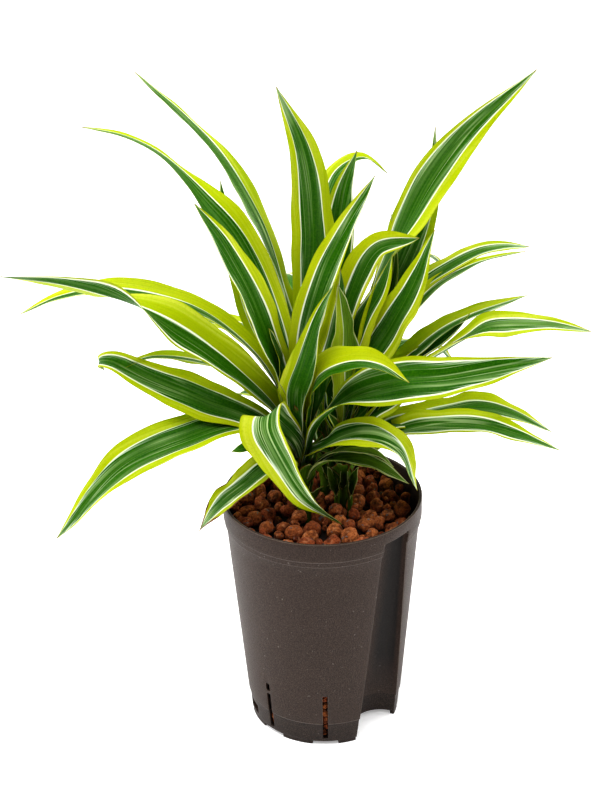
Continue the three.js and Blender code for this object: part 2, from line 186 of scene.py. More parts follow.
def pot_levels():
    """Heights and radii of the wall, outside and inside, from the floor up."""
    outside = [
        (floor_bottom, wall_radius(floor_bottom) - base_band_step),
        (slot_bottom, wall_radius(slot_bottom) - base_band_step),
        (window_top, wall_radius(window_top) - base_band_step),
        (base_band_top, wall_radius(base_band_top) - base_band_step),
        (base_band_top + base_band_step, wall_radius(base_band_top + base_band_step)),
    ]
    plain = [30 * mm, bridge_low, bridge_high, slot_top, (slot_top + slot_groove_top) / 2, slot_groove_top]
    plain += [z * mm for z in range(70, 170, level_spacing)]
    outside += [(z, wall_radius(z)) for z in plain]
    outside += [
        (rim_band_bottom, shoulder_radius),
        (rim_band_bottom + ledge_slope, rim_ledge_radius),
        (rim_ledge_top, rim_ledge_radius),
        (rim_ledge_top + rim_slope, rim_radius),
        (channel_wall_top, rim_radius),
        (rim_bridge_bottom, rim_radius),
        (rim_level, rim_radius),
        (pot_height, rim_radius),
    ]
    inside = []
    for z, radius in outside:
        step = base_band_step if z <= base_band_top else 0
        inside.append((max(z, floor_bottom + wall), wall_radius(z) - step - wall))
    return outside, inside


def is_hole(low, high, angle, in_mouth):
    """Whether the cell of the wall between two heights is cut away."""
    middle = (low + high) / 2
    if in_mouth:
        return channel_wall_top < middle < rim_bridge_bottom
    if degrees_between(angle, window_heading) < window_half_angle and slot_bottom < middle < window_top:
        return True
    for heading in slot_headings:
        if degrees_between(angle, heading) < slot_half_angle and slot_bottom < middle < slot_top:
            return not (heading == bridged_slot and bridge_low < middle < bridge_high)
    return False


def cells_closed(bm, outer, inner, holes):
    """Faces of a wall from two matching grids of points. Cells named in holes are left open, and
    the wall's thickness shows round them."""
    rows, columns = len(outer), len(outer[0])
    for row in range(rows - 1):
        for column in range(columns):
            beside = (column + 1) % columns
            if (row, column) in holes:
                continue
            bm.faces.new((outer[row][column], outer[row][beside],
                          outer[row + 1][beside], outer[row + 1][column]))
            bm.faces.new((inner[row][column], inner[row + 1][column],
                          inner[row + 1][beside], inner[row][beside]))
            if (row, beside) in holes:
                bm.faces.new((outer[row][beside], inner[row][beside],
                              inner[row + 1][beside], outer[row + 1][beside]))
            if (row, (column - 1) % columns) in holes:
                bm.faces.new((outer[row][column], outer[row + 1][column],
                              inner[row + 1][column], inner[row][column]))
            if (row + 1, column) in holes:
                bm.faces.new((outer[row + 1][column], outer[row + 1][beside],
                              inner[row + 1][beside], inner[row + 1][column]))
            if (row - 1, column) in holes:
                bm.faces.new((outer[row][column], inner[row][column],
                              inner[row][beside], outer[row][beside]))
    for column in range(columns):
        beside = (column + 1) % columns
        bm.faces.new((outer[-1][column], outer[-1][beside], inner[-1][beside], inner[-1][column]))


def groove_pressed(loop, angles):
    """The level with its columns over each slot pressed in a little."""
    pressed = []
    for point, angle in zip(loop, angles):
        over_slot = angle is not None and any(
            degrees_between(angle, heading) < slot_half_angle + 0.01 for heading in slot_headings
        )
        inward = Vector((point.x, point.y, 0)).normalized() * slot_groove_depth
        pressed.append(point - inward if over_slot else point)
    return pressed


def pot_wall():
    bm = bmesh.new()
    outside, inside = pot_levels()
    mouth_start = len(wall_angles) + 2 * corner_steps
    angles = [None] * corner_steps + wall_angles + [None] * (corner_steps + channel_steps - 1)
    outer, inner = [], []
    for (z, radius), (inner_z, inner_radius) in zip(outside, inside):
        bridged = z > (channel_wall_top + rim_bridge_bottom) / 2
        centre = wall_radius(z)
        loop = plan_loop(radius, channel_radius(z), centre, z, bridged)
        inner_loop = plan_loop(inner_radius, channel_radius(z) + wall, centre, inner_z, bridged)
        if slot_top < z < slot_groove_top:
            loop = groove_pressed(loop, angles)
        outer.append([bm.verts.new(point) for point in loop])
        inner.append([bm.verts.new(point) for point in inner_loop])
    holes = set()
    for row, ((low, _), (high, _)) in enumerate(zip(outside, outside[1:])):
        for column in range(len(angles)):
            sides = angles[column:column + 2]
            on_plain_wall = len(sides) == 2 and None not in sides
            middle = sum(sides) / 2 if on_plain_wall else 0
            if is_hole(low, high, middle, column >= mouth_start):
                holes.add((row, column))
    cells_closed(bm, outer, inner, holes)
    bm.faces.new(list(reversed(outer[0])))
    bm.faces.new(inner[0])
    bmesh.ops.delete(bm, geom=[v for v in bm.verts if not v.link_faces], context="VERTS")
    bmesh.ops.recalc_face_normals(bm, faces=bm.faces)
    return bm


def new_object(name, bm):
    mesh = bpy.data.meshes.new(name)
    bm.to_mesh(mesh)
    bm.free()
    thing = bpy.data.objects.new(name, mesh)
    bpy.context.scene.collection.objects.link(thing)
    return thing


def ring_segment(low_angle, high_angle, inner_radius, outer_radius, low, high, steps):
    """A closed length of a square ring, for a foot."""
    bm = bmesh.new()
    sections = []
    for step in range(steps + 1):
        angle = low_angle + (high_angle - low_angle) * step / steps
        corners = ((inner_radius, low), (outer_radius, low), (outer_radius, high), (inner_radius, high))
        sections.append([bm.verts.new(on_heading(angle, radius, z)) for radius, z in corners])
    for here, there in zip(sections, sections[1:]):
        for corner in range(4):
            after = (corner + 1) % 4
            bm.faces.new((here[corner], here[after], there[after], there[corner]))
    bm.faces.new(sections[0])
    bm.faces.new(sections[-1])
    bmesh.ops.recalc_face_normals(bm, faces=bm.faces)
    return bm


def made_plain(thing):
    """Applies the object's modifiers to its mesh."""
    graph = bpy.context.evaluated_depsgraph_get()
    mesh = bpy.data.meshes.new_from_object(thing.evaluated_get(graph))
    thing.modifiers.clear()
    thing.data = mesh
    return thing


def bevelled(thing, width, material_index=-1):
    """Rounds the sharp edges, and may give the rounding a material of its own."""
    bevel = thing.modifiers.new("rounded edges", "BEVEL")
    bevel.width = width
    bevel.segments = 2
    bevel.limit_method = "ANGLE"
    bevel.angle_limit = math.radians(32)
    bevel.material = material_index
    return made_plain(thing)


def joined_with(body, tools):
    """The union of a body and some tools, which are used up."""
    group = bpy.data.collections.new("tools")
    bpy.context.scene.collection.children.link(group)
    for tool in tools:
        group.objects.link(tool)
    union = body.modifiers.new("union", "BOOLEAN")
    union.operation = "UNION"
    union.solver = "EXACT"
    union.operand_type = "COLLECTION"
    union.collection = group
    made_plain(body)
    for tool in tools:
        bpy.data.objects.remove(tool)
    bpy.data.collections.remove(group)
    return body


foot_arc = 25                         # degrees that each foot goes round
foot_width = 3.4 * mm
foot_root = 4 * mm                    # height at which a foot ends, inside the floor
foot_rounding = 0.4 * mm
pad_radius = 14 * mm
channel_half_angle = 22.9             # the channel's half angle at the ground, and a little more


def make_feet():
    """Eight feet round the edge of the floor, cut short beside the channel, and the middle pad."""
    outer = wall_radius(0) - base_band_step
    tools = []
    for count in range(8):
        middle = 22.5 + 45 * count
        low, high = middle - foot_arc / 2, middle + foot_arc / 2
        if middle < channel_heading:
            high = min(high, channel_heading - channel_half_angle)
        else:
            low = max(low, channel_heading + channel_half_angle)
        foot = ring_segment(low, high, outer - foot_width, outer, 0, foot_root, 12)
        tools.append(bevelled(new_object("foot", foot), foot_rounding))
    pad = bmesh.new()
    middle = Matrix.Translation((0, 0, foot_root / 2))
    bmesh.ops.create_cone(pad, cap_ends=True, segments=64, radius1=pad_radius, radius2=pad_radius,
                          depth=foot_root, matrix=middle)
    tools.append(bevelled(new_object("pad", pad), foot_rounding))
    return tools


def colour(code):
    """A linear colour from an sRGB hex code."""
    channels = [int(code[start:start + 2], 16) / 255 for start in (1, 3, 5)]
    linear = [c / 12.92 if c <= 0.04045 else ((c + 0.055) / 1.055) ** 2.4 for c in channels]
    return (*linear, 1.0)


def add_node(tree, kind, inputs=None, **settings):
    """Adds a node with its settings. An input is given a value, or the socket to link it to, or the
    node whose first output in use it is linked to."""
    node = tree.nodes.new(kind)
    for name, value in settings.items():
        setattr(node, name, value)
    for key, value in (inputs or {}).items():
        if isinstance(value, bpy.types.Node):
            value = next(socket for socket in value.outputs if socket.enabled)
        if isinstance(value, bpy.types.NodeSocket):
            tree.links.new(value, node.inputs[key])
        else:
            node.inputs[key].default_value = value
    return node


def new_material(name):
    material = bpy.data.materials.new(name)
    material.use_nodes = True
    material.node_tree.nodes.clear()
    return material, material.node_tree


def coated(tree, base, *coats):
    """Lays coats over a base colour, one after another. A coat is a colour and what its strength
    goes by: the product of sockets, or of (socket, start, end, strength at start, and at end)."""
    for coat, *readings in coats:
        strength = None
        for reading in readings:
            if isinstance(reading, tuple):
                reading = add_node(tree, "ShaderNodeMapRange", dict(enumerate(reading)))
            if strength:
                reading = add_node(tree, "ShaderNodeMath", {0: strength, 1: reading}, operation="MULTIPLY")
            strength = reading
        if isinstance(coat, str):
            coat = colour(coat)
        base = add_node(tree, "ShaderNodeMix", {0: strength, 6: base, 7: coat}, data_type="RGBA")
    return base


def channel_readings(tree, place, height):
    """How far a point is to the side of the channel's middle, and how far in from the wall there."""
    angle = math.radians(channel_heading)
    outward = (math.sin(angle), -math.cos(angle), 0)
    sideways = (math.cos(angle), math.sin(angle), 0)
    across = add_node(tree, "ShaderNodeVectorMath", {0: place, 1: sideways}, operation="DOT_PRODUCT")
    towards = add_node(tree, "ShaderNodeVectorMath", {0: place, 1: outward}, operation="DOT_PRODUCT")
    near_mouth = add_node(tree, "ShaderNodeMapRange", {0: towards, 1: 20 * mm, 2: 25 * mm})
    flat = add_node(tree, "ShaderNodeVectorMath", {0: place, 1: (1, 1, 0)}, operation="MULTIPLY")
    radius = add_node(tree, "ShaderNodeVectorMath", {0: flat}, operation="LENGTH")
    wall_here = add_node(tree, "ShaderNodeMapRange", {
        0: height, 1: 0.0, 2: rim_band_bottom, 3: foot_radius - wall, 4: shoulder_radius - wall,
    }, clamp=False)
    inward = add_node(tree, "ShaderNodeMath", {0: wall_here, 1: radius}, operation="SUBTRACT")
    inside = add_node(tree, "ShaderNodeMath", {0: inward, 1: near_mouth}, operation="MULTIPLY")
    return across, inside


# Polypropylene, injection-moulded: its matte surface comes from a spark-eroded mould, so it scatters
# a broad dull sheen and turns paler at a grazing angle. The real grain is 0.3 mm wide, too fine to
# show, so it is drawn 0.7 mm wide, with pale flecks and dark pits. Dust shows as single pale specks,
# and painted shade darkens the far side of the channel and its top under the rim.
def moulded_polypropylene(name, body, clouded):
    material, tree = new_material(name)
    place = add_node(tree, "ShaderNodeTexCoord").outputs["Object"]
    height = add_node(tree, "ShaderNodeSeparateXYZ", {0: place}).outputs["Z"]
    clouds = add_node(tree, "ShaderNodeTexNoise", {"Vector": place, "Scale": 0.022 / mm, "Detail": 3.0})
    grain = add_node(tree, "ShaderNodeTexNoise", {"Vector": place, "Scale": 1.4 / mm, "Detail": 2.0})
    dust = add_node(tree, "ShaderNodeTexNoise", {"Vector": place, "Scale": 0.42 / mm, "Detail": 1.0})
    across, inside = channel_readings(tree, place, height)
    in_channel = (inside, 0.5 * mm, 3 * mm)
    base = coated(
        tree, colour(body),
        (clouded, clouds),
        ("#20150f", (height, base_band_top + base_band_step / 2, base_band_top)),     # the base band
        ("#4a3c34", (grain, 0.45, 0.66, 0.0, 0.6)),      # flecks
        ("#17110f", (grain, 0.46, 0.34, 0.0, 0.45)),     # pits
        ("#8a8078", (dust, 0.73, 0.80, 0.0, 0.35)),      # dust
        # painted shade in the channel: its far side, and its top under the rim
        ("#0c0706", (across, 3 * mm, 10 * mm, 0.0, 0.85), in_channel, (height, 25 * mm, 60 * mm)),
        ("#0c0706", (height, 168 * mm, 176 * mm, 0.0, 0.9), in_channel),
    )
    bump = add_node(tree, "ShaderNodeBump", {"Strength": 0.5, "Distance": 0.4 * mm, "Height": grain})
    shader = add_node(tree, "ShaderNodeBsdfPrincipled", {
        "Base Color": base, "Normal": bump, "Roughness": 0.52, "IOR": 1.49, "Specular IOR Level": 0.22,
    })
    add_node(tree, "ShaderNodeOutputMaterial", {"Surface": shader})
    return material


pot = new_object("culture_pot", pot_wall())
pot.data.materials.append(moulded_polypropylene("moulded polypropylene", "#32231c", "#2b1e16"))
# The rounded edges get a paler copy of the plastic: partly rubbed, whitened flash, and partly a painted
# highlight.
pot.data.materials.append(moulded_polypropylene("polypropylene, rubbed edges and painted highlight", "#64584f", "#51463f"))
bevelled(pot, 0.3 * mm, 1)
joined_with(pot, make_feet())
pot.data.shade_smooth()
pot.data.set_sharp_from_angle(angle=math.radians(40))
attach(pot, "root")
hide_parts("pot")


# ---- Clay pebbles ----
# Expanded clay: loose fired pebbles 6 to 15 mm across, rough and rust brown, with black gaps between
# them. They fill the pot to 13 mm under its rim and show through the drain slots.

fill_level = 172.5 * mm               # centres of the top pebbles
mound = 4.5 * mm                      # the heap stands this much higher towards the back
pebble_sizes = ((6.4, 7.8, 0.20), (4.4, 6.2, 0.46), (2.6, 4.0, 0.34))   # radii in mm, and their share
pebble_gap = 0.4 * mm                 # between a pebble and the wall
channel_gap = 0.3 * mm                # and between a pebble and the channel, or the wall by a slot
stem_gap = 0.4                        # how near a stem a pebble's middle may lie, in its own radii
pebble_settling = 0.25                # share of its radius that a pebble sinks in
pebble_lumps, pebble_grit = 3.2 * mm, 1.3 * mm        # how far the two kinds of relief move its surface
stem_axes = {                         # each stem's middle where it leaves the pebbles, and its radius
    "shoot_left": (-13, 0.5, 6.5), "shoot_back": (4, 31, 6.5), "shoot_right": (16.4, 16, 6.5),
    "sprout_front": (11, 8, 2), "sprout_side": (21, 5, 2),
}


def inner_radius_at(z):
    return wall_radius(z) - wall


def clear_of_all(point, radius, taken, closeness):
    """Whether a pebble fits: inside the wall, out of the channel, off the stems and its neighbours."""
    flat = Vector((point.x, point.y))
    if flat.length > inner_radius_at(point.z) - radius - pebble_gap:
        return False
    channel = on_heading(channel_heading, wall_radius(point.z), 0).to_2d()
    if (flat - channel).length < channel_radius(point.z) + wall + radius + channel_gap:
        return False
    for x, y, stem_radius in stem_axes.values():
        if (flat - Vector((x, y)) * mm).length < stem_radius * mm + radius * stem_gap:
            return False
    return all((point - other).length > closeness * (radius + size) for other, size in taken)


def smooth(low, high, value):
    """Rises from 0 to 1 between two values, gently at both ends."""
    share = min(1.0, max(0.0, (value - low) / (high - low)))
    return share * share * (3 - 2 * share)


def heap_of_pebbles(level, scatter, tries, seed, closeness):
    """Places and radii of one layer, the large ones first, thrown in by dice with a fixed seed."""
    dice = random.Random(seed)
    taken = []
    for low, high, share in pebble_sizes:
        for _ in range(int(tries * share)):
            radius = dice.uniform(low, high) * mm
            heading, reach = dice.uniform(0, 360), math.sqrt(dice.random())
            z = level + dice.uniform(-scatter, scatter) - radius * pebble_settling
            point = on_heading(heading, reach * inner_radius_at(z), z)
            backwards = point.y / inner_radius_at(z) + 0.4 * (1 - reach)
            point.z += mound * smooth(-0.2, 0.8, backwards)
            if clear_of_all(point, radius, taken, closeness):
                taken.append((point, radius))
    return taken


def pebbles_behind_slots():
    """The pebbles that lean on the wall where the drain slots and the window let them be seen."""
    dice = random.Random(41)
    places = []
    for heading in (*slot_headings, window_heading - 6, window_heading + 1, window_heading + 8):
        z = slot_bottom + 2 * mm
        while z < slot_top + 4 * mm:
            radius = dice.uniform(3.2, 4.8) * mm
            reach = inner_radius_at(z) - base_band_step - radius - channel_gap
            places.append((on_heading(heading + dice.uniform(-2, 2), reach, z), radius))
            z += radius * 1.75        # a little less than a pebble's own height
    return places


def pebble_tree():
    """Sets a rough lump on each point: its vertices' size attribute gives the radius."""
    tree = bpy.data.node_groups.new("heap of clay pebbles", "GeometryNodeTree")
    face = tree.interface
    face.new_socket("Geometry", in_out="INPUT", socket_type="NodeSocketGeometry")
    sockets = {}
    for name, kind in (("Fineness", "Int"), ("Lumps", "Float"), ("Grit", "Float"), ("Seed", "Int"),
                       ("Clay", "Material")):
        socket = face.new_socket(name, in_out="INPUT", socket_type="NodeSocket" + kind)
        sockets[name] = socket.identifier
    face.new_socket("Geometry", in_out="OUTPUT", socket_type="NodeSocketGeometry")
    given = add_node(tree, "NodeGroupInput").outputs
    size = add_node(tree, "GeometryNodeInputNamedAttribute", {"Name": "size"}, data_type="FLOAT")
    lump = add_node(tree, "GeometryNodeMeshIcoSphere", {"Radius": 1.0, "Subdivisions": given["Fineness"]})
    shape = add_node(tree, "FunctionNodeRandomValue", {
        0: (0.82, 0.72, 0.66), 1: (1.22, 1.0, 0.92), "Seed": given["Seed"],
    }, data_type="FLOAT_VECTOR")
    turned = add_node(tree, "FunctionNodeRandomValue", {
        0: (0.0, 0.0, 0.0), 1: (math.tau, math.tau, math.tau), "Seed": given["Seed"],
    }, data_type="FLOAT_VECTOR")
    scale = add_node(tree, "ShaderNodeVectorMath", {
        0: shape.outputs[0], "Scale": size.outputs["Attribute"],
    }, operation="SCALE")
    placed = add_node(tree, "GeometryNodeInstanceOnPoints", {
        "Points": given["Geometry"], "Instance": lump.outputs["Mesh"],
        "Rotation": turned.outputs[0], "Scale": scale,
    })
    tone = add_node(tree, "FunctionNodeRandomValue", {
        2: 0.0, 3: 1.0, "Seed": given["Seed"],
    }, data_type="FLOAT")
    toned = add_node(tree, "GeometryNodeStoreNamedAttribute", {
        "Geometry": placed, "Name": "tone", "Value": tone.outputs[1],
    }, data_type="FLOAT", domain="INSTANCE")
    geometry = add_node(tree, "GeometryNodeRealizeInstances", {"Geometry": toned})
    normal = add_node(tree, "GeometryNodeInputNormal").outputs[0]
    for name, per_metre in (("Lumps", 0.15 / mm), ("Grit", 0.42 / mm)):
        relief = add_node(tree, "ShaderNodeTexNoise", {"Scale": per_metre, "Detail": 1.0})
        kept = add_node(tree, "GeometryNodeStoreNamedAttribute", {
            "Geometry": geometry, "Name": name.lower(), "Value": relief.outputs[0],
        }, data_type="FLOAT", domain="POINT")
        height = add_node(tree, "GeometryNodeInputNamedAttribute", {"Name": name.lower()}, data_type="FLOAT")
        centred = add_node(tree, "ShaderNodeMath", {0: height.outputs[0], 1: 0.5}, operation="SUBTRACT")
        push = add_node(tree, "ShaderNodeMath", {0: centred, 1: given[name]}, operation="MULTIPLY")
        offset = add_node(tree, "ShaderNodeVectorMath", {0: normal, "Scale": push}, operation="SCALE")
        geometry = add_node(tree, "GeometryNodeSetPosition", {"Geometry": kept, "Offset": offset})
    smoothed = add_node(tree, "GeometryNodeSetShadeSmooth", {"Geometry": geometry})
    dressed = add_node(tree, "GeometryNodeSetMaterial", {"Geometry": smoothed, "Material": given["Clay"]})
    add_node(tree, "NodeGroupOutput", {"Geometry": dressed})
    return tree, sockets


# Expanded clay, fired in a kiln: a dull, open-pored surface with no gloss at all. Pores and grit of
# 0.5 to 2 mm break it up, some pebbles are redder than others, and a few carry dark sintered spots.
# Painted shade darkens the hollows between the lumps, the hollows in the grit and the pores, and a
# painted highlight lightens the raised grit. The lower the pebbles lie in the heap, the darker
# painted shade makes them, apart from those behind the slots.
def fired_clay():
    material, tree = new_material("expanded clay, fired")
    place = add_node(tree, "ShaderNodeTexCoord").outputs["Object"]
    height = add_node(tree, "ShaderNodeSeparateXYZ", {0: place}).outputs["Z"]
    tone = add_node(tree, "ShaderNodeAttribute", attribute_name="tone").outputs["Fac"]
    lumps = add_node(tree, "ShaderNodeAttribute", attribute_name="lumps").outputs["Fac"]
    grit = add_node(tree, "ShaderNodeAttribute", attribute_name="grit").outputs["Fac"]
    crust = add_node(tree, "ShaderNodeTexNoise", {"Vector": place, "Scale": 0.7 / mm, "Detail": 4.0})
    pores = add_node(tree, "ShaderNodeTexVoronoi", {"Vector": place, "Scale": 0.56 / mm})
    spots = add_node(tree, "ShaderNodeTexNoise", {"Vector": place, "Scale": 0.26 / mm, "Detail": 1.0})
    top_layer = (height, fill_level - 20 * mm, fill_level - 18 * mm)
    base = coated(
        tree, colour("#8e4524"),
        ("#c07440", tone),
        ("#74402a", (crust, 0.35, 0.65, 0.0, 0.6)),
        ("#3a1a0f", (lumps, 0.50, 0.32, 0.0, 0.8)),      # painted shade in the hollows between the lumps
        ("#3a1a0f", (grit, 0.48, 0.32, 0.0, 0.7)),       # painted shade in the hollows in the grit
        ("#d89a70", (grit, 0.56, 0.70, 0.0, 0.4)),       # painted highlight on the raised grit
        # painted shade in the pores
        ("#1d0c07", (pores, 0.3, 0.05, 0.0, 0.7)),
        ("#6b6664", (spots, 0.66, 0.71, 0.0, 0.8)),      # sintered spots
        # painted shade, darker the lower a pebble lies, apart from those behind the slots
        ("#150803", (height, fill_level + 1 * mm, fill_level - 7 * mm), top_layer),
    )
    rough = add_node(tree, "ShaderNodeBump", {"Strength": 1.0, "Distance": 1.2 * mm, "Height": crust})
    pitted = add_node(tree, "ShaderNodeBump", {
        "Strength": 0.8, "Distance": 0.8 * mm, "Height": pores, "Normal": rough,
    })
    shader = add_node(tree, "ShaderNodeBsdfPrincipled", {
        "Base Color": base, "Normal": pitted, "Roughness": 0.95, "Specular IOR Level": 0.2,
    })
    add_node(tree, "ShaderNodeOutputMaterial", {"Surface": shader})
    return material


def points_object(name, places):
    """Bare vertices, each with the size of its pebble."""
    bm = bmesh.new()
    size = bm.verts.layers.float.new("size")
    for point, radius in places:
        bm.verts.new(point)[size] = radius
    return new_object(name, bm)


heap_tree, heap_inputs = pebble_tree()
clay = fired_clay()


def make_pebbles(name, places, fineness, seed):
    thing = points_object(name, places)
    heap = thing.modifiers.new("heap", "NODES")
    heap.node_group = heap_tree
    for label, value in (("Fineness", fineness), ("Lumps", pebble_lumps), ("Grit", pebble_grit),
                         ("Seed", seed), ("Clay", clay)):
        heap[heap_inputs[label]] = value
    return made_plain(thing)


top_layer = heap_of_pebbles(
    level=fill_level + 1 * mm, scatter=2.6 * mm, tries=5200, seed=12, closeness=0.88,
)
lower_layer = heap_of_pebbles(
    level=fill_level - 8 * mm, scatter=1.5 * mm, tries=3000, seed=5, closeness=0.8,
)
pebbles = make_pebbles("clay_pebbles_on_top", top_layer, fineness=3, seed=3)
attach(pebbles, "root")
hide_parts("clay_pebbles")
seen_below = lower_layer + pebbles_behind_slots()
under = make_pebbles("clay_pebbles_below", seen_below, fineness=2, seed=4)
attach(under, "root")


# ---- Shade among the pebbles ----
# Deeper in the pot the pebbles are only darkness. One closed body of the same clay, set in from the
# wall and under the pebbles that show, keeps the slots and the gaps between the pebbles dark.

bed_inset = 5 * mm
bed_levels = (8 * mm, 60 * mm, 120 * mm, fill_level - 6 * mm)


def make_bed():
    bm = bmesh.new()
    loops = []
    for z in bed_levels:
        round_channel = channel_radius(z) + wall + 1 * mm
        loop = plan_loop(inner_radius_at(z) - bed_inset, round_channel, wall_radius(z), z, False)
        loops.append([bm.verts.new(point) for point in loop])
    for low, high in zip(loops, loops[1:]):
        for column in range(len(low)):
            beside = (column + 1) % len(low)
            bm.faces.new((low[column], low[beside], high[beside], high[column]))
    bm.faces.new(loops[0])
    bm.faces.new(loops[-1])
    bmesh.ops.recalc_face_normals(bm, faces=bm.faces)
    return new_object("clay_bed", bm)


# The same fired clay as painted shade: nearly black between the pebbles, which are 9 mm apart.
def shaded_clay():
    material, tree = new_material("expanded clay, painted shade")
    place = add_node(tree, "ShaderNodeTexCoord").outputs["Object"]
    cells = add_node(tree, "ShaderNodeTexVoronoi", {"Vector": place, "Scale": 0.11 / mm})
    base = coated(tree, colour("#0d0705"), ("#2c160d", (cells, 0.0, 0.8, 1.0, 0.0)))
    shader = add_node(tree, "ShaderNodeBsdfPrincipled", {"Base Color": base, "Roughness": 1.0})
    add_node(tree, "ShaderNodeOutputMaterial", {"Surface": shader})
    return material


bed = make_bed()
bed.data.materials.append(shaded_clay())
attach(bed, "root")


# ---- Leafy shoots ----
# Three cuttings of one striped dracaena stand close together. Each is a short stem clasped by its
# strap leaves: half a millimetre thick, folded along the midrib, waved at the margins, striped dark
# green down the middle with a white line on each side and lime margins.

golden_angle = 137.508
stem_foot = 140 * mm                  # how far down the stems reach into the pebbles
stem_taper = 0.6
sheath_share = 0.28                   # breadth where the blade leaves the stem
widest_at = 0.52
usual_taper = 1.8                     # more gives a blunter tip
open_fold = 10                        # degrees that each half rises, at the tip
sheath_fold = 38                      # and what the sheath adds to it
edge_wave = 1.4 * mm
full_wave_width = 24                  # narrower blades wave less
waves_per_leaf = 2.6
spine_kink = 2.2 * mm                 # how far a midrib wanders from its smooth curve
margin_curl = 1.5                     # short kinks in the margins, as a share of their waves
edge_drift = 0.16                     # how much the margins swell and shrink
rib_thickness = 1.2 * mm
edge_thickness = 0.45 * mm
leaf_steps = 66
half_columns = 8
tip_thinning = 0.6                    # a blade is this much thinner at its tip
band_wander, band_swell = 0.10, 0.06  # how far the dark band strays, as shares of the half breadth
basal_bottom = 166                    # height in millimetres of the lowest leaf that clasps the stem
leaf_readings = ("past_band", "from_edge", "across", "along", "leaf", "streaks", "dry", "young")
